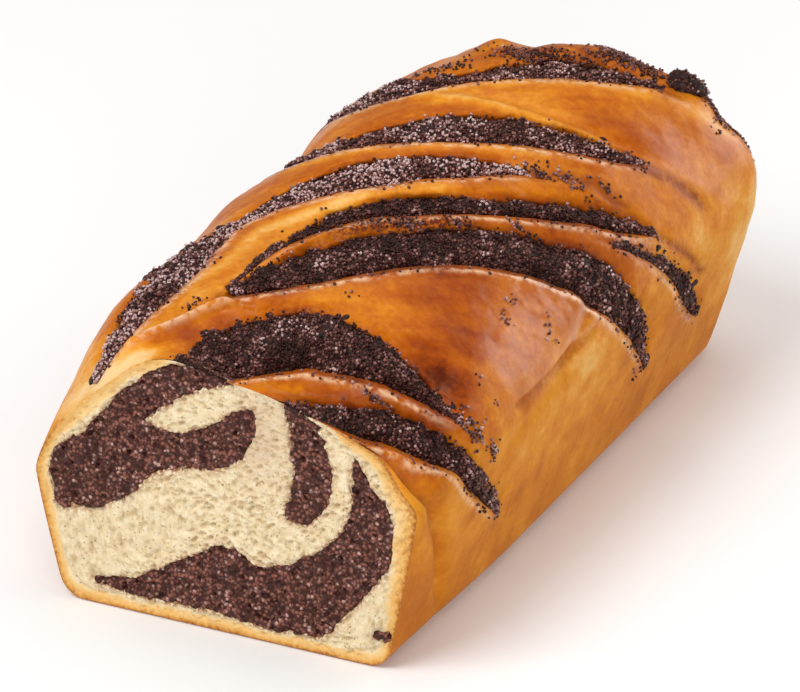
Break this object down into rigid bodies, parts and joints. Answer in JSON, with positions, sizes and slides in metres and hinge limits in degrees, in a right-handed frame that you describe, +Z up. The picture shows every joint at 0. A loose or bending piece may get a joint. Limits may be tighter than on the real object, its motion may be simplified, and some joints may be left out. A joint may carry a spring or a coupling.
{
  "type": "poppy seed strudel loaf",
  "caption": "Twisted yeast loaf with dark poppy filling in its seams, tin-baked, one end cut off to show the swirl.",
  "frame": {"origin": "middle of the loaf's box, at the flat base it stands on", "axes": "+Z up, the loaf lies along Y, its cut end faces -Y, +X is across the loaf"},
  "size_m": [0.1156, 0.211, 0.0849],
  "materials": {
    "baked_dough": "satin",
    "poppy_filling": "matte"
  },
  "bodies": {
    "root": {"dough": "baked_dough", "filling_end_crown": "poppy_filling", "filling_end_lump": "poppy_filling", "filling_far_crown": "poppy_filling", "filling_left_shoulder": "poppy_filling", "filling_lower_swirl": "poppy_filling", "filling_middle": "poppy_filling", "filling_middle_far": "poppy_filling", "filling_near_crown": "poppy_filling", "filling_near_right": "poppy_filling", "filling_right_arc": "poppy_filling", "filling_right_spot": "poppy_filling"}
  },
  "joints": []
}
